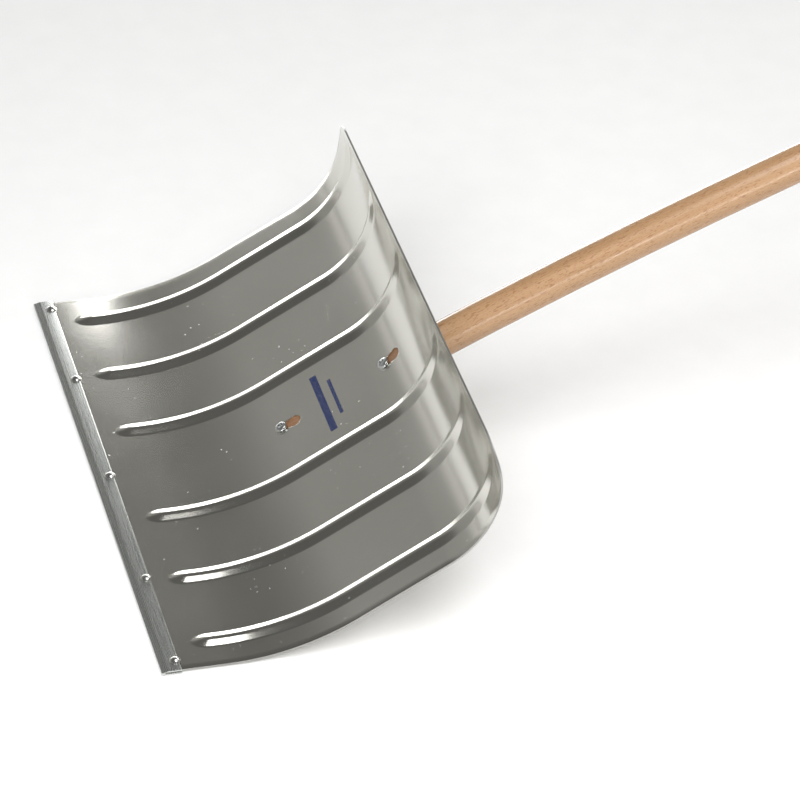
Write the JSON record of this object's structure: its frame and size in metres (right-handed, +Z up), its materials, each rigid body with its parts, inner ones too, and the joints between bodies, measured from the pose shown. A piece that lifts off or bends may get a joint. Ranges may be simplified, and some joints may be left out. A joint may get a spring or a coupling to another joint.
{
  "type": "snow shovel",
  "caption": "Snow shovel with a wide ribbed aluminium scoop, a riveted steel wear edge and a long, slightly bent wooden pole screwed under the blade.",
  "frame": {"origin": "on the ground, on the centre line, in the middle of the wear edge's flat underside", "axes": "X across the blade, +Y backwards from the wear edge towards the pole's end, +Z up; the shovel stands as it is pushed, with its front flat on the ground and the pole rising behind it"},
  "size_m": [0.503, 1.3189, 0.5516],
  "materials": {
    "blade_sheet": "satin rolled sheet",
    "edge_steel": "galvanised, fine lengthwise streaks",
    "rivet_metal": "bright",
    "pole_wood": "plain sanded beech",
    "screw_zinc": "zinc plated"
  },
  "bodies": {
    "root": {"blade": "blade_sheet", "wear_edge": "edge_steel", "edge_rivet_1": "rivet_metal", "edge_rivet_2": "rivet_metal", "edge_rivet_3": "rivet_metal", "edge_rivet_4": "rivet_metal", "edge_rivet_5": "rivet_metal", "handle": "pole_wood", "lower_handle_screw": "screw_zinc", "upper_handle_screw": "screw_zinc"}
  },
  "joints": []
}
